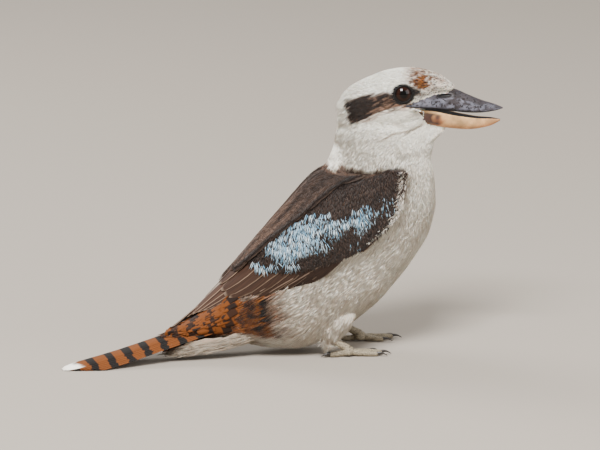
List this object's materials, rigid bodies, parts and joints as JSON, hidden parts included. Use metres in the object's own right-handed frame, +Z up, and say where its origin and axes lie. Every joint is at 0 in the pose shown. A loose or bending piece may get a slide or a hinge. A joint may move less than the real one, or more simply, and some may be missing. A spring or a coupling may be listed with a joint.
{
  "type": "laughing kookaburra",
  "caption": "Life-size still model of a laughing kookaburra standing with a slightly open bill, folded wings and its tail tip on the floor.",
  "frame": {"origin": "on the floor, at the middle of the bird's bounding box seen from above", "axes": "+X forward along the bill, +Y to the bird's left, +Z up"},
  "size_m": [0.3595, 0.1002, 0.2296],
  "materials": {
    "plumage_white": "soft overlapping feathers, cream white with dark face markings",
    "plumage_brown": "dark brown feathers with paler edges and pale blue spots on the wing coverts",
    "plumage_rufous": "rufous tail feathers with black bars and white tips",
    "horn_dark": "slate grey horn with a satin surface",
    "horn_pale": "pale buff horn with a satin surface",
    "eye": "wet, very dark brown eye",
    "scaly_skin": "dull olive grey scaly skin with dark claws"
  },
  "bodies": {
    "root": {"head": "plumage_white", "neck": "plumage_white", "torso": "plumage_white", "thigh_left": "plumage_white", "thigh_right": "plumage_white", "wing_left": "plumage_brown", "wing_right": "plumage_brown", "tail": "plumage_rufous", "bill_upper": "horn_dark", "bill_lower": "horn_pale", "eye_left": "eye", "eye_right": "eye", "shank_left": "scaly_skin", "shank_right": "scaly_skin", "foot_left": "scaly_skin", "foot_right": "scaly_skin"}
  },
  "joints": []
}
